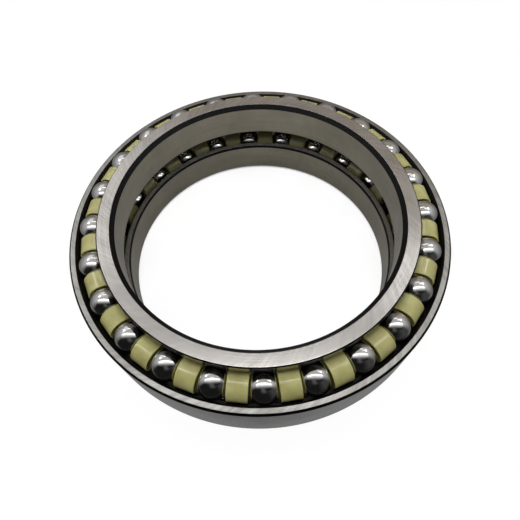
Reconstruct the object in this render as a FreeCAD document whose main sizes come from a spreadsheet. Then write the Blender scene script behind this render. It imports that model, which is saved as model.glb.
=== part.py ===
"""Double-row angular contact ball bearing for a travel reducer, millimetres, +Z along its axis.

The bearing stands on the outer face of its lower inner ring. The origin is on the axis at that face.
One outer ring with a centre rib carries two rows of balls. Each row has its own inner ring, and a
cylindrical spacer between each pair of balls keeps them apart.
"""
import FreeCAD, Part
import Sketcher
import os
from math import atan2

DIMENSIONS = [
    ("bore_diameter", 170.0, "bore of both inner rings"),
    ("inner_wall", 6.63, "inner ring's wall behind the deepest line of its raceway"),
    ("outer_wall", 5.13, "outer ring's wall behind the deepest line of its raceway"),
    ("row_spacing", 34.8, "from the ball centres of one row to those of the other"),
    ("rim_rise", 1.6, "outer ring's end face beyond the ball centres"),
    ("face_rise", 14.1, "inner ring's outer face beyond the ball centres"),
    ("mid_drop", 10.3, "inner ring's mid face from the ball centres, towards the other row"),
    ("ball_diameter", 18.0, "ball"),
    ("ball_count", 24, "balls in a row, and spacers in a row"),
    ("upper_phase", 0.0, "degrees that the upper row is turned from the front"),
    ("lower_phase", 2.5, "degrees that the lower row is turned from the front"),
    ("contact_angle", 40.0, "degrees between a contact line and the bearing's mid plane"),
    ("race_clearance", 0.3, "between a ball and a raceway where they would touch"),
    ("race_opening", 0.3, "raceway's radius beyond that of the ball and its clearance"),
    ("shoulder_height", 3.7, "inner ring's high shoulder over the deepest line of its raceway"),
    ("rib_height", 2.5, "outer ring's centre rib over the deepest line of its raceways"),
    ("land_relief", 1.8, "inner ring's low land under the deepest line of its raceway"),
    ("lead_in", 1.2, "radial width of the cone from the outer raceway out to the end face"),
    ("outer_chamfer", 1.2, "outer ring's corners on the outside diameter"),
    ("bore_chamfer", 2.5, "inner ring's bore corner at its outer face"),
    ("mid_chamfer_radial", 0.8, "inner ring's bore corner at its mid face, along the face"),
    ("mid_chamfer_axial", 1.5, "inner ring's bore corner at its mid face, along the bore"),
    ("shoulder_chamfer", 0.7, "inner ring's high shoulder corner at its outer face"),
    ("land_chamfer", 1.0, "inner ring's low land corner at its mid face"),
    ("spacer_relief", 1.2, "spacer's diameter under that of the balls beside it"),
    ("spacer_rim", 0.2, "flat rim round the cup in a spacer's end"),
    ("spacer_out", 0.15, "spacer's axis outside the line between the centres of the balls beside it"),
    ("spacer_drop", 1.6, "spacer's axis off the ball centres, towards the other row"),
    ("spacer_chamfer", 0.3, "spacer's outer edges"),
    ("cup_clearance", 0.3, "between a ball and the cup in a spacer's end"),
]

doc = FreeCAD.newDocument("TravelReducerBearing")
dims = doc.addObject("Spreadsheet::Sheet", "Dims")
for row, (alias, value, meaning) in enumerate(DIMENSIONS, start=1):
    dims.set("A%d" % row, meaning)
    dims.set("B%d" % row, str(value))
    dims.setAlias("B%d" % row, alias)
doc.recompute()

# Expressions that the rings, the balls and the spacers share
BALL_RADIUS = "(Dims.ball_diameter / 2)"
GROOVE_RADIUS = "(%s + Dims.race_clearance + Dims.race_opening)" % BALL_RADIUS
GROOVE_IN = "(Dims.race_opening * cos(Dims.contact_angle))"
GROOVE_UP = "(Dims.race_opening * sin(Dims.contact_angle))"
BORE_RADIUS = "(Dims.bore_diameter / 2)"
INNER_DEPTH = "(%s + Dims.inner_wall)" % BORE_RADIUS
PITCH_RADIUS = "(%s + %s - %s)" % (INNER_DEPTH, GROOVE_RADIUS, GROOVE_IN)
OUTER_DEPTH = "(%s + %s - %s)" % (PITCH_RADIUS, GROOVE_RADIUS, GROOVE_IN)
OUTSIDE_RADIUS = "(%s + Dims.outer_wall)" % OUTER_DEPTH
MID_HEIGHT = "(Dims.row_spacing / 2 + Dims.face_rise)"
PITCH_ANGLE = "(360 / Dims.ball_count)"
# The high shoulder and the rib begin this far along the axis from the centre of their raceway's section
SHOULDER_REACH = "sqrt(%s ^ 2 - (%s - Dims.shoulder_height) ^ 2)" % (GROOVE_RADIUS, GROOVE_RADIUS)
RIB_REACH = "sqrt(%s ^ 2 - (%s - Dims.rib_height) ^ 2)" % (GROOVE_RADIUS, GROOVE_RADIUS)
# Direction of the front of the bearing, in degrees about +Z from +X
FRONT = "(-90)"


def number(text):
    """Value of an expression on the sheet."""
    return float(dims.evalExpression(text))


def row_height(side):
    """Height of a row's ball centres: side 1 is the upper row, side -1 the lower."""
    return "(%s + %d * Dims.row_spacing / 2)" % (MID_HEIGHT, side)


def make_body(label):
    """Starts a body whose label is the piece's name."""
    body = doc.addObject("PartDesign::Body", label)
    body.Label = label
    return body


def add_sketch(body, role):
    """Adds a sketch on one of the body's own origin planes."""
    plane = [feature for feature in body.Origin.OriginFeatures if feature.Role == role][0]
    sketch = body.newObject("Sketcher::SketchObject", body.Name + "_profile")
    sketch.AttachmentSupport = [(plane, "")]
    sketch.MapMode = "FlatFace"
    return sketch


def bind(sketch, constraint, text):
    """Adds a dimension to a sketch and ties it to the sheet."""
    index = sketch.addConstraint(constraint)
    sketch.setExpression("Constraints[%d]" % index, text)


def draw_profile(sketch, corners):
    """Draws a closed outline whose corners are bound to the sheet.

    A corner is (x, y, arc). x and y are expressions, or x is None on the sketch's vertical axis. The
    run to the next corner is straight where arc is None. Otherwise arc is the (x, y, radius) of the
    circle that the run follows.
    """
    places = []
    for x, y, arc in corners:
        places.append(FreeCAD.Vector(0 if x is None else number(x), number(y), 0))
    ends = []
    for i, (x, y, arc) in enumerate(corners):
        start = places[i]
        end = places[(i + 1) % len(corners)]
        forward = True
        if arc is None:
            curve = Part.LineSegment(start, end)
        else:
            centre = FreeCAD.Vector(number(arc[0]), number(arc[1]), 0)
            circle = Part.Circle(centre, FreeCAD.Vector(0, 0, 1), number(arc[2]))
            forward = (start - centre).cross(end - centre).z > 0
            limits = (start, end) if forward else (end, start)
            angles = [atan2(point.y - centre.y, point.x - centre.x) for point in limits]
            curve = Part.ArcOfCircle(circle, *angles)
        run = sketch.addGeometry(curve, False)
        ends.append(((run, 1), (run, 2)) if forward else ((run, 2), (run, 1)))
    for i, (begin, end) in enumerate(ends):
        following = ends[(i + 1) % len(ends)][0]
        sketch.addConstraint(Sketcher.Constraint("Coincident", *end, *following))
    for i, (x, y, arc) in enumerate(corners):
        begin = ends[i][0]
        if x is None:
            sketch.addConstraint(Sketcher.Constraint("PointOnObject", *begin, -2))
        else:
            bind(sketch, Sketcher.Constraint("DistanceX", -1, 1, *begin, places[i].x), x)
        bind(sketch, Sketcher.Constraint("DistanceY", -1, 1, *begin, places[i].y), y)
        if arc is not None:
            bind(sketch, Sketcher.Constraint("Radius", begin[0], number(arc[2])), arc[2])


def turn_profile(body, sketch):
    """Turns a body's sketch a full circle about the sketch's vertical axis."""
    turned = body.newObject("PartDesign::Revolution", body.Name + "_turned")
    turned.Profile = sketch
    turned.ReferenceAxis = (sketch, ["V_Axis"])
    turned.Angle = 360
    return turned


def make_outer_ring():
    """One ring with a raceway each side of a centre rib, open to both end faces."""
    half_width = "(Dims.row_spacing / 2 + Dims.rim_rise)"
    rim_radius = "(%s + Dims.lead_in)" % OUTER_DEPTH
    rib_radius = "(%s - Dims.rib_height)" % OUTER_DEPTH
    groove_x = "(%s - %s)" % (PITCH_RADIUS, GROOVE_IN)
    corners = []
    for side in (1, -1):
        face = "%s + %d * %s" % (MID_HEIGHT, side, half_width)
        groove_y = "(%s + %d * %s)" % (row_height(side), side, GROOVE_UP)
        groove = (groove_x, groove_y, GROOVE_RADIUS)
        rib_edge = "%s - %d * %s" % (groove_y, side, RIB_REACH)
        half = [
            (OUTSIDE_RADIUS, "%s - %d * Dims.outer_chamfer" % (face, side), None),
            (OUTSIDE_RADIUS + " - Dims.outer_chamfer", face, None),
            (rim_radius, face, None),
            (OUTER_DEPTH, groove_y, groove),
            (rib_radius, rib_edge, None),
        ]
        if side == -1:
            # The lower half runs back from the rib to the outside diameter
            half.reverse()
            half[0] = (rib_radius, rib_edge, groove)
            half[1] = (OUTER_DEPTH, groove_y, None)
        corners += half
    body = make_body("outer_ring")
    sketch = add_sketch(body, "XZ_Plane")
    draw_profile(sketch, corners)
    turn_profile(body, sketch)
    return body


def make_inner_ring(label, side):
    """One inner ring: side 1 is the upper ring, side -1 its mirror image below."""
    face = "(%s + %d * Dims.face_rise)" % (row_height(side), side)
    mid_face = "(%s - %d * Dims.mid_drop)" % (row_height(side), side)
    shoulder_radius = "(%s + Dims.shoulder_height)" % INNER_DEPTH
    land_radius = "(%s - Dims.land_relief)" % INNER_DEPTH
    groove_y = "(%s - %d * %s)" % (row_height(side), side, GROOVE_UP)
    groove = ("(%s + %s)" % (PITCH_RADIUS, GROOVE_IN), groove_y, GROOVE_RADIUS)
    corners = [
        (BORE_RADIUS, "%s - %d * Dims.bore_chamfer" % (face, side), None),
        (BORE_RADIUS + " + Dims.bore_chamfer", face, None),
        (shoulder_radius + " - Dims.shoulder_chamfer", face, None),
        (shoulder_radius, "%s - %d * Dims.shoulder_chamfer" % (face, side), None),
        (shoulder_radius, "%s + %d * %s" % (groove_y, side, SHOULDER_REACH), groove),
        (INNER_DEPTH, groove_y, None),
        (land_radius, "%s + %d * Dims.land_chamfer" % (mid_face, side), None),
        (land_radius + " - Dims.land_chamfer", mid_face, None),
        (BORE_RADIUS + " + Dims.mid_chamfer_radial", mid_face, None),
        (BORE_RADIUS, "%s + %d * Dims.mid_chamfer_axial" % (mid_face, side), None),
    ]
    body = make_body(label)
    sketch = add_sketch(body, "XZ_Plane")
    draw_profile(sketch, corners)
    turn_profile(body, sketch)
    return body


def make_balls(row_name, side, phase):
    """The balls of one row, the first at the front and the rest counterclockwise from it."""
    balls = []
    for i in range(int(number("Dims.ball_count"))):
        label = "%s_ball_%02d" % (row_name, i + 1)
        ball = doc.addObject("Part::Sphere", label)
        ball.Label = label
        angle = "%s + %s + %d * %s" % (FRONT, phase, i, PITCH_ANGLE)
        ball.setExpression("Radius", BALL_RADIUS)
        ball.setExpression("Placement.Base.x", "%s * cos(%s)" % (PITCH_RADIUS, angle))
        ball.setExpression("Placement.Base.y", "%s * sin(%s)" % (PITCH_RADIUS, angle))
        ball.setExpression("Placement.Base.z", row_height(side))
        balls.append(ball)
    return balls


def make_spacers(row_name, side, phase):
    """The spacers of one row: short cylinders between the balls, with a cup in each end."""
    half_chord = "(%s * sin(%s / 2))" % (PITCH_RADIUS, PITCH_ANGLE)
    chord_radius = "(%s * cos(%s / 2))" % (PITCH_RADIUS, PITCH_ANGLE)
    radius = "(%s - Dims.spacer_relief / 2)" % BALL_RADIUS
    # A cup is turned about the spacer's own axis, so it is wide enough for a ball that sits off that axis
    off_axis = "sqrt(Dims.spacer_out ^ 2 + Dims.spacer_drop ^ 2)"
    cup_radius = "(%s + Dims.cup_clearance + %s)" % (BALL_RADIUS, off_axis)
    mouth_radius = "(%s - Dims.spacer_chamfer - Dims.spacer_rim)" % radius
    # A cup's centre stands off the end face, level with the ball
    stand_off = "sqrt(%s ^ 2 - %s ^ 2)" % (cup_radius, mouth_radius)
    cup_depth = "(%s - %s)" % (cup_radius, stand_off)
    length = "(2 * (%s - %s))" % (half_chord, stand_off)
    near_cup = ("0", "-%s" % stand_off, cup_radius)
    far_cup = ("0", "%s + %s" % (length, stand_off), cup_radius)
    corners = [
        (None, cup_depth, None),
        (None, "%s - %s" % (length, cup_depth), far_cup),
        (mouth_radius, length, None),
        (radius + " - Dims.spacer_chamfer", length, None),
        (radius, length + " - Dims.spacer_chamfer", None),
        (radius, "Dims.spacer_chamfer", None),
        (radius + " - Dims.spacer_chamfer", "0", None),
        (mouth_radius, "0", near_cup),
    ]
    body = make_body(row_name + "_spacers")
    sketch = add_sketch(body, "XY_Plane")
    height = "%s - %d * Dims.spacer_drop" % (row_height(side), side)
    sketch.setExpression("AttachmentOffset.Base.x", "%s + Dims.spacer_out" % chord_radius)
    sketch.setExpression("AttachmentOffset.Base.y", "-%s / 2" % length)
    sketch.setExpression("AttachmentOffset.Base.z", height)
    draw_profile(sketch, corners)
    turned = turn_profile(body, sketch)
    doc.recompute()
    row = body.newObject("PartDesign::PolarPattern", body.Name + "_row")
    row.Originals = [turned]
    axis = [feature for feature in body.Origin.OriginFeatures if feature.Role == "Z_Axis"][0]
    row.Axis = (axis, [""])
    row.Angle = 360
    row.setExpression("Occurrences", "Dims.ball_count")
    body.Tip = row
    turn = "%s + %s + %s / 2" % (FRONT, phase, PITCH_ANGLE)
    body.setExpression("Placement.Rotation.Angle", turn)
    return body


def check(pieces):
    """Stops unless the document is sound and each piece is the closed solids that it should be."""
    for thing in doc.Objects:
        if "Invalid" in thing.State or "Error" in thing.State:
            raise RuntimeError("%s did not compute: %s" % (thing.Label, thing.State))
    count = int(number("Dims.ball_count"))
    for piece in pieces:
        shape = piece.Shape
        wanted = count if piece.Label.endswith("_spacers") else 1
        if shape.isNull() or not shape.isValid():
            raise RuntimeError(piece.Label + " has no valid shape")
        if len(shape.Solids) != wanted:
            raise RuntimeError("%s has %d solids" % (piece.Label, len(shape.Solids)))


pieces = [
    make_outer_ring(),
    make_inner_ring("upper_inner_ring", 1),
    make_inner_ring("lower_inner_ring", -1),
    *make_balls("upper", 1, "Dims.upper_phase"),
    *make_balls("lower", -1, "Dims.lower_phase"),
    make_spacers("upper", 1, "Dims.upper_phase"),
    make_spacers("lower", -1, "Dims.lower_phase"),
]
doc.recompute()
check(pieces)
os.makedirs("parts", exist_ok=True)
for piece in pieces:
    piece.Shape.exportStep("parts/%s.step" % piece.Label)
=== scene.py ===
"""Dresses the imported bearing: ground steel rings, lapped balls and moulded nylon spacers in a light tent.

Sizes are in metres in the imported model's frame. +Z runs along the bearing's axis and the bearing
stands on z = 0, with the first ball of its upper row at -Y.
"""
import math
from functools import partial

import bpy
from bpy.props import FloatProperty, FloatVectorProperty, IntProperty, PointerProperty
from bpy.types import Operator, Panel, PropertyGroup
from mathutils import Matrix, Vector
from mathutils.kdtree import KDTree


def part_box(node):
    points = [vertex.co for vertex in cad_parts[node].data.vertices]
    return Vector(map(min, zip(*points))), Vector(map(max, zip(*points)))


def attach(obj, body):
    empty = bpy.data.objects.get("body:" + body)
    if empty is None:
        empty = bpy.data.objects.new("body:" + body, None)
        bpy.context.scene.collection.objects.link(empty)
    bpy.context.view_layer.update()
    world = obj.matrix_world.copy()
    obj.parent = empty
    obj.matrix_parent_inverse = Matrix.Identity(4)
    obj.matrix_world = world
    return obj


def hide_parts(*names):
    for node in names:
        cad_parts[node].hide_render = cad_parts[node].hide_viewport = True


bl_info = {
    "name": "Travel Reducer Bearing",
    "version": (1, 0, 0),
    "blender": (4, 5, 0),
    "location": "View3D > Sidebar > Bearing",
    "description": "Builds the looks of a two-row angular contact ball bearing on its packed model",
    "category": "Add Mesh",
}

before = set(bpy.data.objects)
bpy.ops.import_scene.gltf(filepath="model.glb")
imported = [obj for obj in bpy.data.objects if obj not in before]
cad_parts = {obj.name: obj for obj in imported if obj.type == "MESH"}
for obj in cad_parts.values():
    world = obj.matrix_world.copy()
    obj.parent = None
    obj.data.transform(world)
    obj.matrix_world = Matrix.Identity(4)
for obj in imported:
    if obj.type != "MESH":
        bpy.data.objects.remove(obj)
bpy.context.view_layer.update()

MM = 0.001
OUTER_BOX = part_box("outer_ring")
UPPER_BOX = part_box("upper_inner_ring")
BALL_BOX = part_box("upper_ball_01")
MIDDLE = (OUTER_BOX[0].z + OUTER_BOX[1].z) / 2
FRONT = -math.pi / 2
WHITE = (1.0, 1.0, 1.0, 1.0)

# Divisions of an outline: its rounded corners and its arcs. A straight run that is longer than
# LONG_RUN edge radii gets a point HOLD edge radii from each end
CORNER_STEP = math.radians(20)
ARC_STEP = math.radians(3.5)
LONG_RUN = 8
HOLD = 1.5
# A spacer's moulded edges are rounder than the rings' ground ones by this much
MOULDED_EDGE = 1.2

# Marks on ground steel, drawn out on paths round the ring: turn for each metre outwards, cells in a
# radian, cells in a metre outwards, detail. On a face 91 mm from the axis, the wheel's lines are
# 0.55 mm apart and 36 mm long, the cup wheel's crossing streaks 2.2 mm apart and 17 mm long, and
# the patches of oil 26 mm by 22 mm
LINES = (0.0, 2.5, 1 / (0.55 * MM), 3.0)
CROSSING = (10.5, 91 / 2.2, 60.0, 3.0)
PATCHES = (4.0, 3.5, 45.0, 2.0)
# Height counts for more than radius in the marks, so that they show on a cone of 45 degrees too
HEIGHT_SHARE = 1.31
# Part of the noise's values that carries the contrast
NOISE_SPAN = (0.3, 0.7)
# Sum of the marks from its darkest to its lightest, and the shares of colour and roughness there
MARK_SPAN = (-0.5, 0.5)
MARK_COLOURS = (0.55, 1.45)
MARK_ROUGHNESS = (1.25, 0.75)
# Painted shade on the front of a mid face: where it ends, in depth, and its share of the colour
FRONT_SHADE_SPAN = (-0.055, -0.025)
FRONT_SHADE_COLOUR = 0.08

# Steel finishes: colour, roughness, shares of lines, crossing streaks and patches, anisotropy,
# painted shade on the front
STEELS = {
    # The cup wheel leaves the faces bright, with crossing streaks, and draws their highlights out
    "ground face": ("face", 0.24, (0.10, 0.12, 0.14), 0.35, False),
    # The outer ring's faces are duller, with stronger streaks
    "ground rim": ("rim", 0.41, (0.10, 0.20, 0.14), 0.2, False),
    # The outside and the bores are an even, blurred mirror with fine lines round the ring
    "ground seat": ("seat", 0.34, (0.12, 0.04, 0.10), 0.3, False),
    "ground bore": ("bore", 0.34, (0.12, 0.04, 0.10), 0.3, False),
    # The faces in the middle are matt, and a painted shade darkens their front
    "ground mid face": ("mid", 0.62, (0.14, 0.10, 0.14), 0.0, True),
    # The shoulders are the finest ground and mirror the balls beside them
    "ground shoulder": ("shoulder", 0.22, (0.12, 0.0, 0.10), 0.0, False),
    # The raceways are painted dark, as the shade in the grooves between the balls and the rings, and rough
    "honed raceway": ("raceway", 0.55, (0.06, 0.0, 0.10), 0.0, False),
}

# Other finishes: size of their patterns, and shares of colour and roughness at both ends of them
SCALE_GRAIN = 1.5 * MM
SCALE_COLOURS = (0.4, 1.2)
SCALE_ROUGHNESS = (0.42, 0.62)
SCALE_METALLIC = 0.7
OIL_FILM = 4 * MM
FILM_SPAN = (0.4, 0.68)
BALL_COLOURS = (0.80, 1.05)
BALL_ROUGHNESS = (0.05, 0.22)
NYLON_CLOUD = 9 * MM
AGED_SPAN = (0.3, 0.75)
AGED_COLOUR = 1.25
# Distance from the middle over which the spacers' painted shade between the rows ends, and its share of the
# colour
ROW_SHADE_REACH = (9 * MM, 15 * MM)
ROW_SHADE_COLOUR = 0.42
NYLON_ROUGHNESS = (0.06, 0.40)
NYLON_GRAIN = 0.6 * MM
NYLON_GRAIN_HEIGHT = 0.02 * MM
# How far light goes into nylon, and the shares of red, green and blue in that
NYLON_DEPTH = 3.0 * MM
NYLON_DEPTHS = (1.0, 0.9, 0.45)

# Table: how far off something still narrows a gap, and its level as the camera sees it
GAP_REACH = 0.09
TABLE_LEVEL = 1.06
# Painted shade in the steel's mirror of the table: from a narrow gap to an open place, the level that the
# steel mirrors there
MIRRORED_GAP = (0.0, 1.0, 0.0, 0.90)
# The same for how much of that level stands in for the table's own light, to the camera and mirrored
SEEN_GAP = (0.12, 0.35, 0.0, 0.9)
MIRRORED_LIFT = 0.9
# Painted shade: radii between which the table darkens as the steel mirrors it, and its shares at both
MIRROR_DARKENS = (0.12, 0.16, 0.85, 0.18)
# Painted shadow close behind the bearing: a ring between two fades, which ends to the front
SHADOW_INSIDE = (0.086, 0.094, 1.0, 0.0)
SHADOW_OUTSIDE = (0.120, 0.138)
SHADOW_FRONT = (-0.01, 0.11, 1.0, 0.0)
SHADOW_SHARE = 0.03

TENT_TOP = 0.319
# Spans over which the tent's light changes, in metres: start, end, and the shares at both.
# Depth runs from the opening to the back. The light from the opening rises late, as a power
OPENING = (-0.289, -0.111)
OPENING_POWER = 4.0
BEHIND = (-0.035, 0.0, 1.0, 0.55)
FAR = (0.10, 0.22)
FAR_LEFT = (-0.17, -0.10)
FAR_LEFT_LEVEL = 1.7
WALL_OPENS = (-0.194, -0.062)
WALL_FAR = (0.1, 0.4)
WARM_DEPTH = (0.10, 0.20)
WARM_ASIDE = (-0.17, -0.08)
# Colour of the light that comes back from the room behind the tent
WARM = (1.0, 0.92, 0.83, 1.0)
# Lamp strips from left to right: depth, half width of the even part and with the edge, and reach
LAMP = (-0.055, (0.013, 0.021, 1.0, 0.0), (0.17, 0.34, 1.0, 0.3))
FAR_LAMP = (0.155, (0.008, 0.016, 1.0, 0.0), (0.13, 0.18, 1.0, 0.0))
# Pools of light on the ceiling: place, radius of the even part and with the edge, radiance
POOLS = (
    ((0.168, 0.084), 0.018, 0.052, 1.3),
    ((0.268, 0.100), 0.020, 0.055, 5.2),
    ((-0.268, 0.105), 0.020, 0.055, 6.0),
    ((-0.185, 0.130), 0.030, 0.110, 0.3),
    ((-0.030, -0.260), 0.020, 0.110, 0.11),
)
# The dim room that shows past the camera: radiance, height and reach over the opening's middle,
# and span and radiance on its right
ROOM_MIDDLE = (0.11, (0.17, 0.27), (0.03, 0.14, 1.0, 0.0))
ROOM_RIGHT = (0.08, 0.25)
ROOM_RIGHT_LEVEL = 0.065
# Light of the world on the object. It looks white itself
SKY_LIGHT = 0.35

# Panels of the tent: name, centre, half width along and across, and facing, in metres
TENT = (
    ("ceiling", (0.0, 0.08, TENT_TOP), (0.34, 0.37), "down"),
    ("back", (0.0, 0.45, TENT_TOP / 2), (0.34, TENT_TOP / 2), "front"),
    ("left", (-0.34, 0.08, TENT_TOP / 2), (0.37, TENT_TOP / 2), "side"),
    ("right", (0.34, 0.08, TENT_TOP / 2), (0.37, TENT_TOP / 2), "side"),
    ("opening", (0.0, -0.29, TENT_TOP / 2), (0.34, TENT_TOP / 2), "front"),
    ("dark_card", (0.0, -0.21, 0.0002), (0.34, 0.08), "down"),
    ("fill", (0.0, -0.285, 0.19), (0.25, 0.1), "front"),
    ("fill_over", (0.0, -0.18, 0.315), (0.25, 0.09), "down"),
)
TABLE_RADIUS = 4
TABLE_SIDES = 96
TABLE_HEIGHT = -0.1 * MM
# Camera that shows the bearing as the photograph does: place in metres, turn in degrees, lens and
# sensor in mm, and shift
CAMERA_PLACE = (0.000975, -0.157644, 0.28553)
CAMERA_TURN = (29.3154, 2.0881, -1.5544)
LENS = 31.76
SENSOR = 36.0
SHIFT = (0.0154, -0.0057)


def linear(colour):
    """Turns an sRGB hex colour into linear red, green and blue."""
    shares = [int(colour[i:i + 2], 16) / 255 for i in (1, 3, 5)]
    return tuple(c / 12.92 if c <= 0.04045 else ((c + 0.055) / 1.055) ** 2.4 for c in shares)


def length(name, description, default):
    """A length that a user may change, in metres."""
    return FloatProperty(name=name, description=description, default=default, unit="LENGTH", precision=5)


def radiance(name, description, default):
    """A radiance that a user may change."""
    return FloatProperty(name=name, description=description, default=default, min=0)


def fraction(name, description, default):
    """A share that a user may change."""
    return FloatProperty(name=name, description=description, default=default, min=0, max=1)


def divisions(name, description, default, least):
    """A number of divisions that a user may change."""
    return IntProperty(name=name, description=description, default=default, min=least)


def tint(name, description, default):
    """A colour that a user may change."""
    return FloatVectorProperty(name=name, description=description, default=linear(default), subtype="COLOR",
                               size=3, min=0, max=1)


class BearingRings(PropertyGroup):
    """Sizes of the outer ring and of the two inner rings."""
    outside_radius: length("Outside radius", "Radius of the outer ring's seat", OUTER_BOX[1].x)
    bore_radius: length("Bore radius", "Radius of the inner rings' bore", 85.0 * MM)
    row_spacing: length("Row spacing", "Between the ball centres of the two rows", 34.8 * MM)
    pitch_radius: length("Pitch radius", "From the bearing's axis to the ball centres", 101.0 * MM)
    groove_radius: length("Groove radius", "Radius of a raceway's section", 9.6 * MM)
    groove_in: length("Groove shift across", "Raceway section's centre across from a ball's", 0.2298 * MM)
    groove_up: length("Groove shift along", "Raceway section's centre along from a ball's", 0.1928 * MM)
    shoulder_height: length("Shoulder", "Inner ring's high shoulder over its raceway", 3.7 * MM)
    rib_height: length("Rib", "Outer ring's rib over its raceways", 2.5 * MM)
    land_relief: length("Land", "Low land under the raceway's deepest line", 1.8 * MM)
    lead_in: length("Lead-in", "Radial width of the cone at the outer ring's face", 1.2 * MM)
    outer_chamfer: length("Outer chamfer", "Corners on the outside diameter", 1.2 * MM)
    bore_chamfer: length("Bore chamfer", "Bore's corner at an inner ring's outer face", 2.5 * MM)
    mid_chamfer_radial: length("Mid chamfer across", "Bore's corner at the mid face, across", 0.8 * MM)
    mid_chamfer_axial: length("Mid chamfer along", "Bore's corner at the mid face, along the bore", 1.5 * MM)
    shoulder_chamfer: length("Shoulder chamfer", "High shoulder's corner at the outer face", 0.7 * MM)
    land_chamfer: length("Land chamfer", "Low land's corner at the mid face", 1.0 * MM)
    edge_radius: length("Edge radius", "Rounding that grinding leaves on each corner", 0.12 * MM)
    facets: divisions("Facets", "Steps round a ring", 360, 24)


class BearingRows(PropertyGroup):
    """Sizes of the balls and the spacers of both rows."""
    ball_radius: length("Ball radius", "Radius of a ball", (BALL_BOX[1].z - BALL_BOX[0].z) / 2)
    ball_detail: IntProperty(name="Ball detail", description="Subdivisions of a ball's mesh", default=5,
                             min=2, max=7)
    lower_turn: FloatProperty(name="Lower row's turn", description="Turn of the lower row against the upper",
                              default=math.radians(2.5), subtype="ANGLE")
    spacer_radius: length("Spacer radius", "Radius of a spacer", 8.4 * MM)
    spacer_half_length: length("Spacer half length", "From a spacer's middle to its end face", 5.663 * MM)
    spacer_out: length("Spacer shift", "Spacer's axis outwards from the ball centres", 0.15 * MM)
    spacer_drop: length("Spacer drop", "Spacer's axis from the ball centres towards the other row", 1.6 * MM)
    spacer_chamfer: length("Spacer chamfer", "Outer edges of a spacer", 0.3 * MM)
    cup_radius: length("Cup radius", "Radius of the cup in a spacer's end", 10.907 * MM)
    mouth_radius: length("Cup mouth", "Radius of the cup where it meets the end face", 7.9 * MM)
    spacer_facets: divisions("Spacer facets", "Steps round a spacer", 72, 12)


class BearingFinishes(PropertyGroup):
    """Colours of the steel, the nylon and the stage."""
    face: tint("Ground face", "Ground end faces of the inner rings", "#BCB8B4")
    rim: tint("Ground rim", "Ground end faces of the outer ring", "#969490")
    mid: tint("Ground mid face", "Faces of the inner rings that meet in the middle", "#A6A29B")
    seat: tint("Ground seat", "Ground outside diameter of the outer ring", "#757573")
    bore: tint("Ground bore", "Ground bore of the inner rings", "#8A8577")
    scale: tint("Hardening scale", "Unground chamfers with the skin that hardening leaves", "#0E0D0D")
    shoulder: tint("Ground shoulder", "High shoulders of the inner rings", "#A19E9A")
    # Painted shade: the raceways' dark colour stands for the shade in their grooves
    raceway: tint("Honed raceway", "Raceways", "#33312E")
    ball: tint("Lapped ball", "Steel balls", "#D6D5D3")
    nylon: tint("Nylon", "Moulded spacers", "#CAC88D")
    # Used for clouds of aged nylon, and as painted shade between the two rows
    nylon_aged_and_shade: tint("Nylon, shaded", "Oily parts of the spacers", "#A49D67")
    floor: tint("Floor", "Table under the bearing", "#F6F6F6")


class BearingStudio(PropertyGroup):
    """Light of the tent that the bearing stands in, as radiance of its panels."""
    strip: radiance("Strip", "Lamp strip across the ceiling", 5.2)
    far_strip: radiance("Far strip", "Second strip, over the bearing's back", 3.5)
    ceiling: radiance("Ceiling", "Ceiling over the bearing", 1.05)
    far_ceiling: fraction("Far ceiling", "Ceiling at the back, as a share of its middle", 0.68)
    wall: radiance("Walls", "Top of the walls", 0.75)
    back: fraction("Back", "Back wall, as a share of the others", 0.6)
    front: radiance("Front", "Dark side that the camera looks in from", 0.012)
    fill: radiance("Fill", "Soft light from the front on matt surfaces", 0.55)
    falloff: fraction("Falloff", "A wall at the table, as a share of its top", 0.3)


def add_node(tree, kind, inputs=(), **settings):
    """Adds a node with its settings, and gives its inputs values or links.

    inputs follows the sockets that the settings leave in use, or is a dictionary by name. A node
    that is given as a value stands for its first output in use.
    """
    node = tree.nodes.new(kind)
    for setting, value in settings.items():
        setattr(node, setting, value)
    if isinstance(inputs, dict):
        pairs = [(node.inputs[name], value) for name, value in inputs.items()]
    else:
        pairs = list(zip([socket for socket in node.inputs if socket.enabled], inputs))
    for socket, value in pairs:
        if isinstance(value, bpy.types.Node):
            value = next(output for output in value.outputs if output.enabled)
        if isinstance(value, bpy.types.NodeSocket):
            tree.links.new(value, socket)
        else:
            socket.default_value = value
    return node


def new_material(name):
    """An empty material, and add_node for its tree."""
    material = bpy.data.materials.new(name)
    material.use_nodes = True
    material.node_tree.nodes.clear()
    return material, partial(add_node, material.node_tree)


def end_material(material, kind, inputs):
    """Ends a material with its shader, and returns it."""
    shader = add_node(material.node_tree, kind, inputs)
    add_node(material.node_tree, "ShaderNodeOutputMaterial", {"Surface": shader})
    return material


def shade(colour, share):
    """A colour at a share of its strength."""
    return (*(part * share for part in colour), 1.0)


def fade(add, level, *spans):
    """A level that changes along spans.

    A span is a measure of the point, where it starts and ends, and the shares at both, which hold
    past each end.
    """
    for span in spans:
        share = add("ShaderNodeMapRange", span)
        level = add("ShaderNodeMath", (level, share), operation="MULTIPLY")
    return level


def polar_place(add, twist):
    """Direction round the axis, radius and height of a point.

    The direction turns by twist for each metre outwards.
    """
    point = add("ShaderNodeTexCoord").outputs["Object"]
    x, y, height = add("ShaderNodeSeparateXYZ", (point,)).outputs
    flat = add("ShaderNodeCombineXYZ", (x, y))
    radius = add("ShaderNodeVectorMath", (flat,), operation="LENGTH")
    angle = add("ShaderNodeMath", (radius, twist), operation="MULTIPLY")
    unit = add("ShaderNodeVectorMath", (flat,), operation="NORMALIZE")
    turned = add("ShaderNodeVectorRotate", {"Vector": unit, "Angle": angle}, rotation_type="Z_AXIS")
    return turned, radius, height


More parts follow.
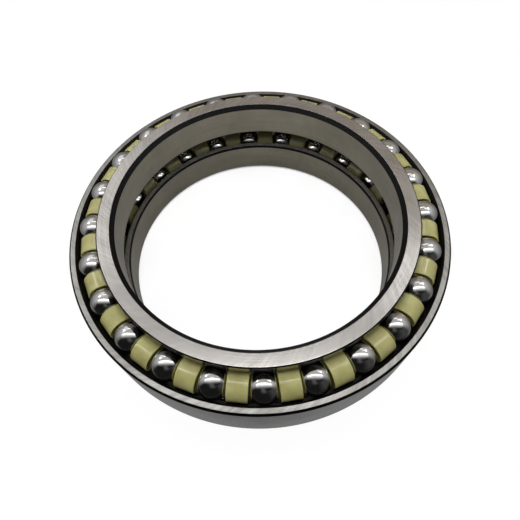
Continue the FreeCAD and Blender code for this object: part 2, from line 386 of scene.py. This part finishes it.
def streaks(add, twist, around, across, detail):
    """Noise drawn out along the paths that a wheel leaves on a turning ring.

    around is how many cells fit in a radian, and across how many fit in a metre outwards or along.
    """
    direction, radius, height = polar_place(add, twist)
    outwards = add("ShaderNodeMath", (height, HEIGHT_SHARE, radius), operation="MULTIPLY_ADD")
    depth = add("ShaderNodeMath", (outwards, across), operation="MULTIPLY")
    spread = add("ShaderNodeVectorMath", (direction, around), operation="SCALE")
    lift = add("ShaderNodeCombineXYZ", {"Z": depth})
    place = add("ShaderNodeVectorMath", (spread, lift), operation="ADD")
    return add("ShaderNodeTexNoise", {"Vector": place, "Scale": 1.0, "Detail": detail, "Roughness": 0.55})


def steel(name, colour, roughness, shares, anisotropy, shaded_front):
    """Machined bearing steel.

    Lines round the ring come from its turning against the wheel, crossing streaks from the cup
    wheel's own path, and patches from oil and handling. Together they move colour and gloss.
    """
    material, add = new_material(name)
    marks = 0.0
    for pattern, share in zip((LINES, CROSSING, PATCHES), shares):
        mark = add("ShaderNodeMapRange", (streaks(add, *pattern), *NOISE_SPAN, -share, share))
        marks = add("ShaderNodeMath", (marks, mark), operation="ADD")
    lightness = add("ShaderNodeMapRange", (marks, *MARK_SPAN))
    dark, pale = (shade(colour, share) for share in MARK_COLOURS)
    base = add("ShaderNodeMix", (lightness, dark, pale), data_type="RGBA")
    # Painted shade: the front of the face darkens towards a near-black share of its colour
    if shaded_front:
        point = add("ShaderNodeTexCoord").outputs["Object"]
        depth = add("ShaderNodeSeparateXYZ", (point,)).outputs["Y"]
        unshaded = add("ShaderNodeMapRange", (depth, *FRONT_SHADE_SPAN))
        base = add("ShaderNodeMix", (unshaded, shade(colour, FRONT_SHADE_COLOUR), base), data_type="RGBA")
    dull, glossy = (roughness * share for share in MARK_ROUGHNESS)
    rough = add("ShaderNodeMapRange", (marks, *MARK_SPAN, dull, glossy))
    surface = {"Base Color": base, "Metallic": 1.0, "Roughness": rough}
    if anisotropy:
        around = add("ShaderNodeTangent", direction_type="RADIAL", axis="Z")
        surface.update({"Anisotropic": anisotropy, "Tangent": around})
    return end_material(material, "ShaderNodeBsdfPrincipled", surface)


def hardening_scale(colour):
    """Chamfers are turned before hardening and never ground, so they keep a near-black matt skin."""
    material, add = new_material("hardening scale")
    point = add("ShaderNodeTexCoord").outputs["Object"]
    mottle = add("ShaderNodeTexNoise", {"Vector": point, "Scale": 1 / SCALE_GRAIN, "Detail": 4.0})
    dark, pale = (shade(colour, share) for share in SCALE_COLOURS)
    base = add("ShaderNodeMix", (mottle, dark, pale), data_type="RGBA")
    rough = add("ShaderNodeMapRange", (mottle, *NOISE_SPAN, *SCALE_ROUGHNESS))
    surface = {"Base Color": base, "Metallic": SCALE_METALLIC, "Roughness": rough}
    return end_material(material, "ShaderNodeBsdfPrincipled", surface)


def lapped_ball(colour):
    """Lapped and polished bearing balls mirror the tent, dulled in places by a film of oil."""
    material, add = new_material("lapped ball steel")
    point = add("ShaderNodeTexCoord").outputs["Object"]
    film = add("ShaderNodeTexNoise", {"Vector": point, "Scale": 1 / OIL_FILM, "Detail": 5.0})
    dark, pale = (shade(colour, share) for share in BALL_COLOURS)
    base = add("ShaderNodeMix", (film, dark, pale), data_type="RGBA")
    rough = add("ShaderNodeMapRange", (film, *FILM_SPAN, *BALL_ROUGHNESS))
    surface = {"Base Color": base, "Metallic": 1.0, "Roughness": rough}
    return end_material(material, "ShaderNodeBsdfPrincipled", surface)


def moulded_nylon(colour, shaded):
    """Natural nylon is waxy and lets a little light in. Age leaves it a yellow green, in clouds of the
    shaded colour, which is also painted as shade between the two rows.
    """
    material, add = new_material("moulded nylon")
    point = add("ShaderNodeTexCoord").outputs["Object"]
    cloud = add("ShaderNodeTexNoise", {"Vector": point, "Scale": 1 / NYLON_CLOUD, "Detail": 2.0})
    aged = add("ShaderNodeMapRange", (cloud, *AGED_SPAN))
    unshaded = add("ShaderNodeMix", (aged, shade(colour, 1.0), shade(shaded, AGED_COLOUR)), data_type="RGBA")
    # Painted shade: darker, and rougher, towards the middle between the two rows
    height = add("ShaderNodeSeparateXYZ", (point,)).outputs["Z"]
    upwards = add("ShaderNodeMath", (height, MIDDLE), operation="SUBTRACT")
    from_middle = add("ShaderNodeMath", (upwards,), operation="ABSOLUTE")
    row_shade = add("ShaderNodeMapRange", (from_middle, *ROW_SHADE_REACH, 1.0, 0.0))
    base = add("ShaderNodeMix", (row_shade, unshaded, shade(shaded, ROW_SHADE_COLOUR)), data_type="RGBA")
    rough = add("ShaderNodeMapRange", (row_shade, 0.0, 1.0, *NYLON_ROUGHNESS))
    grain = add("ShaderNodeTexNoise", {"Vector": point, "Scale": 1 / NYLON_GRAIN, "Detail": 2.0})
    bump = add("ShaderNodeBump", {"Strength": 0.12, "Distance": NYLON_GRAIN_HEIGHT, "Height": grain})
    surface = {"Base Color": base, "Roughness": rough, "IOR": 1.53, "Subsurface Weight": 0.7,
               "Subsurface Radius": NYLON_DEPTHS, "Subsurface Scale": NYLON_DEPTH, "Normal": bump}
    return end_material(material, "ShaderNodeBsdfPrincipled", surface)


def seen_directly(add):
    """1 for camera, glossy and transmission rays, and 0 for rays that carry light onto the object."""
    path = add("ShaderNodeLightPath").outputs
    pair = add("ShaderNodeMath", (path["Is Camera Ray"], path["Is Glossy Ray"]), operation="ADD")
    return add("ShaderNodeMath", (pair, path["Is Transmission Ray"]), operation="ADD", use_clamp=True)


def white_table(colour):
    """Matt white table, lifted to white where the camera sees it, with the bearing's shadow kept.

    It stays dark in narrow gaps, and a painted shadow darkens its colour in a ring close behind
    the bearing. The steel mirrors it with painted shade: darker the narrower the gap, and darker
    again far outside the bearing.
    """
    material, add = new_material("white table")
    openness = add("ShaderNodeAmbientOcclusion", {"Distance": GAP_REACH}, samples=8).outputs["AO"]
    glossy = add("ShaderNodeLightPath").outputs["Is Glossy Ray"]
    point = add("ShaderNodeTexCoord").outputs["Object"]
    radius = add("ShaderNodeVectorMath", (point,), operation="LENGTH")
    depth = add("ShaderNodeSeparateXYZ", (point,)).outputs["Y"]
    # Painted shade: the glow that the steel mirrors darkens in narrow gaps and far outside the bearing
    mirrored = fade(add, 1.0, (openness, *MIRRORED_GAP), (radius, *MIRROR_DARKENS))
    level = add("ShaderNodeMix", (glossy, TABLE_LEVEL, mirrored))
    # 1 away from the ring of painted shadow, which fades outwards as a square and ends towards the front
    outside = add("ShaderNodeMapRange", (radius, *SHADOW_OUTSIDE))
    clear = add("ShaderNodeMath", (outside, outside), operation="MULTIPLY")
    for measure, span in ((radius, SHADOW_INSIDE), (depth, SHADOW_FRONT)):
        share = add("ShaderNodeMapRange", (measure, *span))
        clear = add("ShaderNodeMath", (clear, share), operation="MAXIMUM")
    seen = fade(add, clear, (openness, *SEEN_GAP))
    share = add("ShaderNodeMix", (glossy, seen, MIRRORED_LIFT))
    lift = add("ShaderNodeMath", (seen_directly(add), share), operation="MULTIPLY")
    # Painted shadow: the table's own colour drops to a near-black share in the ring behind the bearing
    shaded = add("ShaderNodeMix", (clear, shade(colour, SHADOW_SHARE), shade(colour, 1.0)), data_type="RGBA")
    matt = add("ShaderNodeBsdfDiffuse", {"Color": shaded})
    glow = add("ShaderNodeEmission", (WHITE, level))
    return end_material(material, "ShaderNodeMixShader", (lift, matt, glow))


def lamp_strip(add, depth, sideways, level, strip):
    """A lamp strip across the ceiling, soft at its edges and weaker at its ends."""
    middle, width, reach = strip
    shift = add("ShaderNodeMath", (depth, middle), operation="SUBTRACT")
    off = add("ShaderNodeMath", (shift,), operation="ABSOLUTE")
    return fade(add, level, (off, *width), (sideways, *reach))


def tent_cloth(studio):
    """Lit cloth of the low light tent.

    The ceiling is brightest over the front of the bearing, with two lamp strips from left to
    right and pools of light at the sides, and falls off to the back, where its light is warm. The
    walls fall off towards the table. The side that the camera looks in from is dark, but for the
    dim room that shows past the camera.
    """
    material, add = new_material("tent cloth")
    point = add("ShaderNodeTexCoord").outputs["Object"]
    aside, depth, height = add("ShaderNodeSeparateXYZ", (point,)).outputs
    sideways = add("ShaderNodeMath", (aside,), operation="ABSOLUTE")

    opening = add("ShaderNodeMapRange", (depth, *OPENING))
    late = add("ShaderNodeMath", (opening, OPENING_POWER), operation="POWER")
    overhead = add("ShaderNodeMapRange", (late, 0.0, 1.0, studio.front, studio.ceiling))
    at_back = add("ShaderNodeMapRange", (aside, *FAR_LEFT, FAR_LEFT_LEVEL, studio.far_ceiling))
    backwards = add("ShaderNodeMapRange", (depth, *FAR))
    far = add("ShaderNodeMix", (backwards, 1.0, at_back))
    near = fade(add, overhead, (depth, *BEHIND))
    ceiling = add("ShaderNodeMath", (near, far), operation="MULTIPLY")
    for place, inner, outer, level in POOLS:
        from_pool = add("ShaderNodeVectorMath", (point, (*place, TENT_TOP)), operation="DISTANCE")
        pool = add("ShaderNodeMapRange", (from_pool, inner, outer, level, 0.0))
        ceiling = add("ShaderNodeMath", (ceiling, pool), operation="ADD")
    for level, strip in ((studio.strip, LAMP), (studio.far_strip, FAR_LAMP)):
        lamp = lamp_strip(add, depth, sideways, level, strip)
        ceiling = add("ShaderNodeMath", (ceiling, lamp), operation="MAXIMUM")

    wall = fade(add, studio.wall, (height, 0.0, TENT_TOP, studio.falloff, 1.0), (depth, *WALL_OPENS),
                (depth, *WALL_FAR, 1.0, studio.back))
    room_level, room_height, room_reach = ROOM_MIDDLE
    middle = fade(add, room_level, (height, *room_height), (sideways, *room_reach))
    right = add("ShaderNodeMapRange", (aside, *ROOM_RIGHT, studio.front, ROOM_RIGHT_LEVEL))
    for room in (middle, right):
        wall = add("ShaderNodeMath", (wall, room), operation="MAXIMUM")

    is_ceiling = add("ShaderNodeMath", (height, TENT_TOP - 0.1 * MM), operation="GREATER_THAN")
    level = add("ShaderNodeMix", (is_ceiling, wall, ceiling))
    warmth = fade(add, 1.0, (depth, *WARM_DEPTH), (aside, *WARM_ASIDE))
    colour = add("ShaderNodeMix", (warmth, WHITE, WARM), data_type="RGBA")
    return end_material(material, "ShaderNodeEmission", (colour, level))


def soft_fill(strength):
    """Light that reaches the matt nylon from the front, where the steel mirrors only darkness."""
    return end_material(new_material("soft fill")[0], "ShaderNodeEmission", (WHITE, strength))


def new_tree(name, sockets):
    """A Geometry Nodes tree with named inputs for its sizes, with add_node and the inputs for it."""
    tree = bpy.data.node_groups.new(name, "GeometryNodeTree")
    tree.interface.new_socket(name="Geometry", in_out="INPUT", socket_type="NodeSocketGeometry")
    tree.interface.new_socket(name="Geometry", in_out="OUTPUT", socket_type="NodeSocketGeometry")
    for socket, kind in sockets:
        tree.interface.new_socket(name=socket, in_out="INPUT", socket_type="NodeSocket" + kind)
    return tree, partial(add_node, tree), add_node(tree, "NodeGroupInput").outputs


def finish_tree(add, geometry, material):
    """Ends a tree with real faces that carry the material."""
    real = add("GeometryNodeRealizeInstances", {"Geometry": geometry})
    dressed = add("GeometryNodeSetMaterial", {"Geometry": real, "Material": material})
    add("NodeGroupOutput", {"Geometry": dressed})


def turning_tree():
    """Turns an outline, drawn as radius and height, a full circle about Z. It is made once."""
    if "turned piece" in bpy.data.node_groups:
        return bpy.data.node_groups["turned piece"]
    tree, add, given = new_tree("turned piece", (
        ("Facets", "Int"), ("Rail radius", "Float"), ("Material", "Material")))
    outline = add("GeometryNodeMeshToCurve", {"Mesh": given["Geometry"]})
    back = add("ShaderNodeMath", (given["Rail radius"], -1.0), operation="MULTIPLY")
    shift = add("ShaderNodeCombineXYZ", {"X": back})
    # A rail in the XY plane carries its profile's second axis downwards, so the outline is turned over
    moved = add("GeometryNodeTransform", {"Geometry": outline, "Translation": shift, "Scale": (1, -1, 1)})
    rail = add("GeometryNodeCurvePrimitiveCircle", (given["Facets"], given["Rail radius"]), mode="RADIUS")
    skin = add("GeometryNodeCurveToMesh", {"Curve": rail, "Profile Curve": moved})
    joined = add("GeometryNodeMergeByDistance", {"Geometry": skin, "Distance": 0.001 * MM})
    smooth = add("GeometryNodeSetShadeSmooth", {"Geometry": joined})
    finish_tree(add, smooth, given["Material"])
    return tree


def ball_tree():
    """One ball, put where it belongs in its row."""
    tree, add, given = new_tree("ball", (
        ("Radius", "Float"), ("Detail", "Int"), ("Pitch radius", "Float"), ("Height", "Float"),
        ("Angle", "Float"), ("Material", "Material")))
    ball = add("GeometryNodeMeshIcoSphere", (given["Radius"], given["Detail"]))
    place = []
    for operation in ("COSINE", "SINE"):
        share = add("ShaderNodeMath", (given["Angle"],), operation=operation)
        place.append(add("ShaderNodeMath", (share, given["Pitch radius"]), operation="MULTIPLY"))
    centre = add("ShaderNodeCombineXYZ", (*place, given["Height"]))
    moved = add("GeometryNodeTransform", {"Geometry": ball, "Translation": centre})
    smooth = add("GeometryNodeSetShadeSmooth", {"Geometry": moved})
    finish_tree(add, smooth, given["Material"])
    return tree


def spacer_row_tree():
    """Turns a spacer's outline, lays it along the row, and repeats it round the row."""
    tree, add, given = new_tree("spacer row", (
        ("Facets", "Int"), ("Rail radius", "Float"), ("Count", "Int"), ("Row radius", "Float"),
        ("Height", "Float"), ("Turn", "Float"), ("Material", "Material")))
    passed = {name: given[name] for name in ("Geometry", "Facets", "Rail radius", "Material")}
    spacer = add("GeometryNodeGroup", passed, node_tree=turning_tree())
    laid = add("GeometryNodeTransform", {"Geometry": spacer, "Rotation": (math.radians(-90), 0, 0)})
    ring = add("GeometryNodeMeshCircle", (given["Count"], given["Row radius"]))
    lift = add("ShaderNodeCombineXYZ", {"Z": given["Height"]})
    turn = add("ShaderNodeCombineXYZ", {"Z": given["Turn"]})
    placed = add("GeometryNodeTransform", {"Geometry": ring, "Translation": lift, "Rotation": turn})
    index = add("GeometryNodeInputIndex")
    share = add("ShaderNodeMath", (index, given["Count"]), operation="DIVIDE")
    angle = add("ShaderNodeMath", (share, math.tau, given["Turn"]), operation="MULTIPLY_ADD")
    facing = add("ShaderNodeCombineXYZ", {"Z": angle})
    row = add("GeometryNodeInstanceOnPoints", {"Points": placed, "Instance": laid, "Rotation": facing})
    finish_tree(add, row, given["Material"])
    return tree


def run_tree(name, tree, values, start=None):
    """Runs a Geometry Nodes tree on a mesh and returns the result as a plain mesh object."""
    carrier = bpy.data.objects.new(name, start or bpy.data.meshes.new(name))
    bpy.context.scene.collection.objects.link(carrier)
    modifier = carrier.modifiers.new("build", "NODES")
    modifier.node_group = tree
    for item in tree.interface.items_tree:
        if item.in_out == "INPUT" and item.name in values:
            modifier[item.identifier] = values[item.name]
    bpy.context.view_layer.update()
    graph = bpy.context.evaluated_depsgraph_get()
    mesh = bpy.data.meshes.new_from_object(carrier.evaluated_get(graph))
    carrier.modifiers.clear()
    carrier.data = mesh
    mesh.name = name
    return carrier


def outline_mesh(name, points, closed):
    """A chain of edges through (radius, height) points, for a turning tree."""
    mesh = bpy.data.meshes.new(name)
    edges = [(i, i + 1) for i in range(len(points) - 1)]
    if closed:
        edges.append((len(points) - 1, 0))
    mesh.from_pydata([(point[0], point[1], 0) for point in points], edges, [])
    return mesh


def run_direction(start, end, bend, at_end):
    """Direction of a run of an outline at its start or its end, as a unit vector."""
    straight = (end - start).normalized()
    if bend is None:
        return straight
    arm = (end if at_end else start) - bend
    tangent = Vector((-arm.y, arm.x)).normalized()
    return tangent if tangent.dot(straight) > 0 else -tangent


def round_corner(place, before, after, edge):
    """Rounds a corner between two runs: where the rounding starts and ends, and its points between."""
    turn = math.atan2(before.cross(after), before.dot(after))
    reach = edge * math.tan(abs(turn) / 2)
    entry = place - before * reach
    centre = entry + Vector((-before.y, before.x)) * math.copysign(edge, turn)
    arm = entry - centre
    steps = max(1, round(abs(turn) / CORNER_STEP))
    points = [centre + Matrix.Rotation(turn * step / steps, 2) @ arm for step in range(1, steps)]
    return entry, place + after * reach, points


def divide_run(start, end, bend, edge):
    """Points on a run between its ends.

    An arc is divided evenly. A long straight run gets a point close to each end, so that smooth
    shading keeps it flat.
    """
    if bend is None:
        run = (end - start).length
        if run <= LONG_RUN * edge:
            return []
        hold = (end - start) * (HOLD * edge / run)
        return [start + hold, end - hold]
    first = math.atan2(*(start - bend).yx)
    last = math.atan2(*(end - bend).yx)
    sweep = (last - first + math.pi) % math.tau - math.pi
    radius = (start - bend).length
    steps = max(2, round(abs(sweep) / ARC_STEP))
    points = []
    for step in range(1, steps):
        angle = first + sweep * step / steps
        points.append(bend + Vector((math.cos(angle), math.sin(angle))) * radius)
    return points


def draw_outline(corners, edge, closed=True):
    """Rounds the corners of an outline and divides its runs.

    A corner is (radius, height, zone, bend). Zone names the finish of the run that starts there,
    and bend is the centre of the circle that the run follows, or None for a straight run. The
    result is a list of (radius, height, zone).
    """
    count = len(corners)
    places = [Vector(corner[:2]) for corner in corners]
    bends = [None if corner[3] is None else Vector(corner[3]) for corner in corners]
    rounded = []
    for i, place in enumerate(places):
        if not closed and i in (0, count - 1):
            rounded.append((place, place, []))
            continue
        before = run_direction(places[i - 1], place, bends[i - 1], True)
        after = run_direction(place, places[(i + 1) % count], bends[i], False)
        rounded.append(round_corner(place, before, after, edge))
    outline = []
    for i, (entry, leave, points) in enumerate(rounded):
        run = [entry, *points]
        if points:
            run.append(leave)
        if closed or i < count - 1:
            run += divide_run(leave, rounded[(i + 1) % count][0], bends[i], edge)
        outline += [(*point, corners[i][2]) for point in run]
    return outline


def face_outwards(mesh):
    """Turns a closed mesh's faces to point outwards if its volume comes out negative."""
    volume = 0.0
    mesh.calc_loop_triangles()
    for triangle in mesh.loop_triangles:
        a, b, c = (mesh.vertices[i].co for i in triangle.vertices)
        volume += a.dot(b.cross(c))
    if volume < 0:
        mesh.flip_normals()


def dress_zones(mesh, outline, finishes):
    """Gives each face of a turned mesh the finish of the run of the outline that it came from."""
    mesh.materials.clear()
    names = list(finishes)
    for name in names:
        mesh.materials.append(finishes[name])
    tree = KDTree(len(outline))
    for i, (radius, height, zone) in enumerate(outline):
        following = outline[(i + 1) % len(outline)]
        tree.insert(((radius + following[0]) / 2, (height + following[1]) / 2, 0), i)
    tree.balance()
    for polygon in mesh.polygons:
        radius = math.hypot(polygon.center.x, polygon.center.y)
        run = tree.find((radius, polygon.center.z, 0))[1]
        polygon.material_index = names.index(outline[run][2])


def ring_finishes(colours):
    """The finishes of a ring's zones, made once and shared by the three rings."""
    names = [*STEELS, "hardening scale"]
    if names[0] not in bpy.data.materials:
        for name, (setting, *finish) in STEELS.items():
            steel(name, getattr(colours, setting), *finish)
        hardening_scale(colours.scale)
    return {name: bpy.data.materials[name] for name in names}


def make_ring(name, corners, side, scene):
    """Turns a ring's outline and gives its zones their finishes.

    The corners' heights run from the bearing's middle, upwards where side is 1 and downwards
    where it is -1.
    """
    settings = scene.bearing_rings
    placed = []
    for radius, height, zone, bend in corners:
        if bend is not None:
            bend = (bend[0], MIDDLE + side * bend[1])
        placed.append((radius, MIDDLE + side * height, zone, bend))
    outline = draw_outline(placed, settings.edge_radius)
    finishes = ring_finishes(scene.bearing_finishes)
    values = {"Facets": settings.facets, "Rail radius": settings.pitch_radius,
              "Material": finishes["ground face"]}
    ring = run_tree(name, turning_tree(), values, outline_mesh(name, outline, True))
    face_outwards(ring.data)
    dress_zones(ring.data, outline, finishes)
    return ring


class BEARING_OT_outer_ring(Operator):
    """Turn the outer ring: two raceways either side of a rib, open to both end faces"""
    bl_idname = "bearing.outer_ring"
    bl_label = "Outer ring"

    def execute(self, context):
        sizes = context.scene.bearing_rings
        outside = sizes.outside_radius
        depth = sizes.pitch_radius + sizes.groove_radius - sizes.groove_in
        rib = depth - sizes.rib_height
        reach = math.sqrt(sizes.groove_radius ** 2 - (sizes.groove_radius - sizes.rib_height) ** 2)
        face = OUTER_BOX[1].z - MIDDLE
        groove = sizes.row_spacing / 2 + sizes.groove_up
        centre = sizes.pitch_radius - sizes.groove_in
        corners = [
            (outside, face - sizes.outer_chamfer, "hardening scale", None),
            (outside - sizes.outer_chamfer, face, "ground rim", None),
            (depth + sizes.lead_in, face, "hardening scale", None),
            (depth, groove, "honed raceway", (centre, groove)),
            (rib, groove - reach, "honed raceway", None),
            (rib, reach - groove, "honed raceway", (centre, -groove)),
            (depth, -groove, "hardening scale", None),
            (depth + sizes.lead_in, -face, "ground rim", None),
            (outside - sizes.outer_chamfer, -face, "hardening scale", None),
            (outside, sizes.outer_chamfer - face, "ground seat", None),
        ]
        ring = make_ring("outer_ring_ground", corners, 1, context.scene)
        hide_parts("outer_ring")
        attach(ring, "outer_ring")
        return {"FINISHED"}


class BEARING_OT_inner_rings(Operator):
    """Turn the two inner rings, which are mirror images of each other"""
    bl_idname = "bearing.inner_rings"
    bl_label = "Inner rings"

    def execute(self, context):
        sizes = context.scene.bearing_rings
        bore = sizes.bore_radius
        depth = sizes.pitch_radius - sizes.groove_radius + sizes.groove_in
        shoulder = depth + sizes.shoulder_height
        land = depth - sizes.land_relief
        reach = math.sqrt(sizes.groove_radius ** 2 - (sizes.groove_radius - sizes.shoulder_height) ** 2)
        face = UPPER_BOX[1].z - MIDDLE
        mid = UPPER_BOX[0].z - MIDDLE
        groove = sizes.row_spacing / 2 - sizes.groove_up
        centre = sizes.pitch_radius + sizes.groove_in
        corners = [
            (bore, face - sizes.bore_chamfer, "hardening scale", None),
            (bore + sizes.bore_chamfer, face, "ground face", None),
            (shoulder - sizes.shoulder_chamfer, face, "hardening scale", None),
            (shoulder, face - sizes.shoulder_chamfer, "ground shoulder", None),
            (shoulder, groove + reach, "honed raceway", (centre, groove)),
            (depth, groove, "honed raceway", None),
            (land, mid + sizes.land_chamfer, "hardening scale", None),
            (land - sizes.land_chamfer, mid, "ground mid face", None),
            (bore + sizes.mid_chamfer_radial, mid, "hardening scale", None),
            (bore, mid + sizes.mid_chamfer_axial, "ground bore", None),
        ]
        for name, side in (("upper_inner_ring", 1), ("lower_inner_ring", -1)):
            ring = make_ring(name + "_ground", corners, side, context.scene)
            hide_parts(name)
            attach(ring, name)
        return {"FINISHED"}


class BEARING_OT_balls(Operator):
    """Make the balls of both rows, each of which turns on its own body"""
    bl_idname = "bearing.balls"
    bl_label = "Balls"

    def execute(self, context):
        rings = context.scene.bearing_rings
        rows = context.scene.bearing_rows
        finish = lapped_ball(context.scene.bearing_finishes.ball)
        tree = ball_tree()
        for row, side, turn in (("upper", 1, 0.0), ("lower", -1, rows.lower_turn)):
            names = sorted(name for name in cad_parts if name.startswith(row + "_ball_"))
            for i, name in enumerate(names):
                ball = run_tree(name + "_lapped", tree, {
                    "Radius": rows.ball_radius, "Detail": rows.ball_detail,
                    "Pitch radius": rings.pitch_radius, "Height": MIDDLE + side * rings.row_spacing / 2,
                    "Angle": FRONT + turn + math.tau * i / len(names), "Material": finish})
                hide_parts(name)
                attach(ball, name)
        return {"FINISHED"}


class BEARING_OT_spacers(Operator):
    """Turn the spacers that keep the balls apart and set them round both rows"""
    bl_idname = "bearing.spacers"
    bl_label = "Spacers"

    def execute(self, context):
        rings = context.scene.bearing_rings
        rows = context.scene.bearing_rows
        colours = context.scene.bearing_finishes
        finish = moulded_nylon(colours.nylon, colours.nylon_aged_and_shade)
        half = rows.spacer_half_length
        cup = half + math.sqrt(rows.cup_radius ** 2 - rows.mouth_radius ** 2)
        inner = cup - rows.cup_radius
        rim = rows.spacer_radius - rows.spacer_chamfer
        corners = [
            (0.0, inner, "nylon", (0.0, cup)),
            (rows.mouth_radius, half, "nylon", None),
            (rim, half, "nylon", None),
            (rows.spacer_radius, half - rows.spacer_chamfer, "nylon", None),
            (rows.spacer_radius, rows.spacer_chamfer - half, "nylon", None),
            (rim, -half, "nylon", None),
            (rows.mouth_radius, -half, "nylon", (0.0, -cup)),
            (0.0, -inner, "nylon", None),
        ]
        outline = draw_outline(corners, MOULDED_EDGE * rings.edge_radius, closed=False)
        tree = spacer_row_tree()
        count = len([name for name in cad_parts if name.startswith("upper_ball_")])
        step = math.tau / count
        for row, side, turn in (("upper", 1, 0.0), ("lower", -1, rows.lower_turn)):
            name = row + "_spacers"
            spacers = run_tree(name + "_moulded", tree, {
                "Facets": rows.spacer_facets, "Rail radius": rows.spacer_radius, "Count": count,
                "Row radius": rings.pitch_radius * math.cos(step / 2) + rows.spacer_out,
                "Height": MIDDLE + side * (rings.row_spacing / 2 - rows.spacer_drop),
                "Turn": FRONT + turn + step / 2, "Material": finish}, outline_mesh(name, outline, False))
            face_outwards(spacers.data)
            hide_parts(name)
            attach(spacers, row + "_row")
        return {"FINISHED"}


def panel_corners(centre, half, facing):
    """Corners of a flat panel of the tent."""
    x, y, z = centre
    along, across = half
    corners = []
    for i, j in ((-1, -1), (1, -1), (1, 1), (-1, 1)):
        if facing == "down":
            corners.append((x + i * along, y + j * across, z))
        elif facing == "front":
            corners.append((x + i * along, y, z + j * across))
        else:
            corners.append((x, y + i * along, z + j * across))
    return corners


def flat_piece(name, corners, material):
    """A single face through its corners."""
    mesh = bpy.data.meshes.new(name)
    mesh.from_pydata(corners, [], [list(range(len(corners)))])
    mesh.materials.append(material)
    piece = bpy.data.objects.new(name, mesh)
    bpy.context.scene.collection.objects.link(piece)
    return piece


class BEARING_OT_stage(Operator):
    """Set up the table, the light tent, the background and the camera"""
    bl_idname = "bearing.stage"
    bl_label = "Stage"

    def execute(self, context):
        scene = context.scene
        edge = []
        for i in range(TABLE_SIDES):
            angle = math.tau * i / TABLE_SIDES
            edge.append((TABLE_RADIUS * math.cos(angle), TABLE_RADIUS * math.sin(angle), TABLE_HEIGHT))
        table = flat_piece("table", edge, white_table(scene.bearing_finishes.floor))
        cloth = tent_cloth(scene.bearing_studio)
        fill = soft_fill(scene.bearing_studio.fill)
        for name, centre, half, facing in TENT:
            soft = name.startswith("fill")
            panel = flat_piece("tent_" + name, panel_corners(centre, half, facing), fill if soft else cloth)
            panel.visible_camera = False
            panel.visible_shadow = False
            panel.visible_diffuse = name != "dark_card"
            panel.visible_glossy = not soft
        world = bpy.data.worlds.new("studio")
        world.use_nodes = True
        world.node_tree.nodes.clear()
        add = partial(add_node, world.node_tree)
        level = add("ShaderNodeMapRange", (seen_directly(add), 0.0, 1.0, SKY_LIGHT, 1.0))
        sky = add("ShaderNodeBackground", (WHITE, level))
        add("ShaderNodeOutputWorld", {"Surface": sky})
        scene.world = world
        scene.view_settings.view_transform = "Standard"
        camera = bpy.data.cameras.new("camera")
        camera.sensor_width = SENSOR
        camera.lens = LENS
        camera.shift_x, camera.shift_y = SHIFT
        camera.clip_start = 10 * MM
        viewer = bpy.data.objects.new("camera", camera)
        viewer.location = CAMERA_PLACE
        viewer.rotation_euler = [math.radians(angle) for angle in CAMERA_TURN]
        scene.collection.objects.link(viewer)
        scene.camera = viewer
        return {"FINISHED"}


class BEARING_PT_pieces(Panel):
    """Lists the bearing's pieces and the settings that they are made from"""
    bl_idname = "BEARING_PT_pieces"
    bl_label = "Bearing"
    bl_space_type = "VIEW_3D"
    bl_region_type = "UI"
    bl_category = "Bearing"

    def draw(self, context):
        column = self.layout.column()
        for operator in OPERATORS:
            column.operator(operator.bl_idname)
        for group in GROUPS:
            box = self.layout.box()
            settings = getattr(context.scene, group)
            for name in settings.bl_rna.properties.keys():
                if name not in ("rna_type", "name"):
                    box.prop(settings, name)


OPERATORS = (BEARING_OT_outer_ring, BEARING_OT_inner_rings, BEARING_OT_balls, BEARING_OT_spacers,
             BEARING_OT_stage)
GROUPS = {"bearing_rings": BearingRings, "bearing_rows": BearingRows, "bearing_finishes": BearingFinishes,
          "bearing_studio": BearingStudio}


def register():
    for kind in (*GROUPS.values(), *OPERATORS, BEARING_PT_pieces):
        bpy.utils.register_class(kind)
    for name, kind in GROUPS.items():
        setattr(bpy.types.Scene, name, PointerProperty(type=kind))


def unregister():
    for name in GROUPS:
        delattr(bpy.types.Scene, name)
    for kind in (BEARING_PT_pieces, *reversed(OPERATORS), *GROUPS.values()):
        bpy.utils.unregister_class(kind)


def main():
    """Builds the pieces in order."""
    register()
    bpy.ops.bearing.outer_ring()
    bpy.ops.bearing.inner_rings()
    bpy.ops.bearing.balls()
    bpy.ops.bearing.spacers()
    bpy.ops.bearing.stage()


if __name__ == "__main__":
    main()
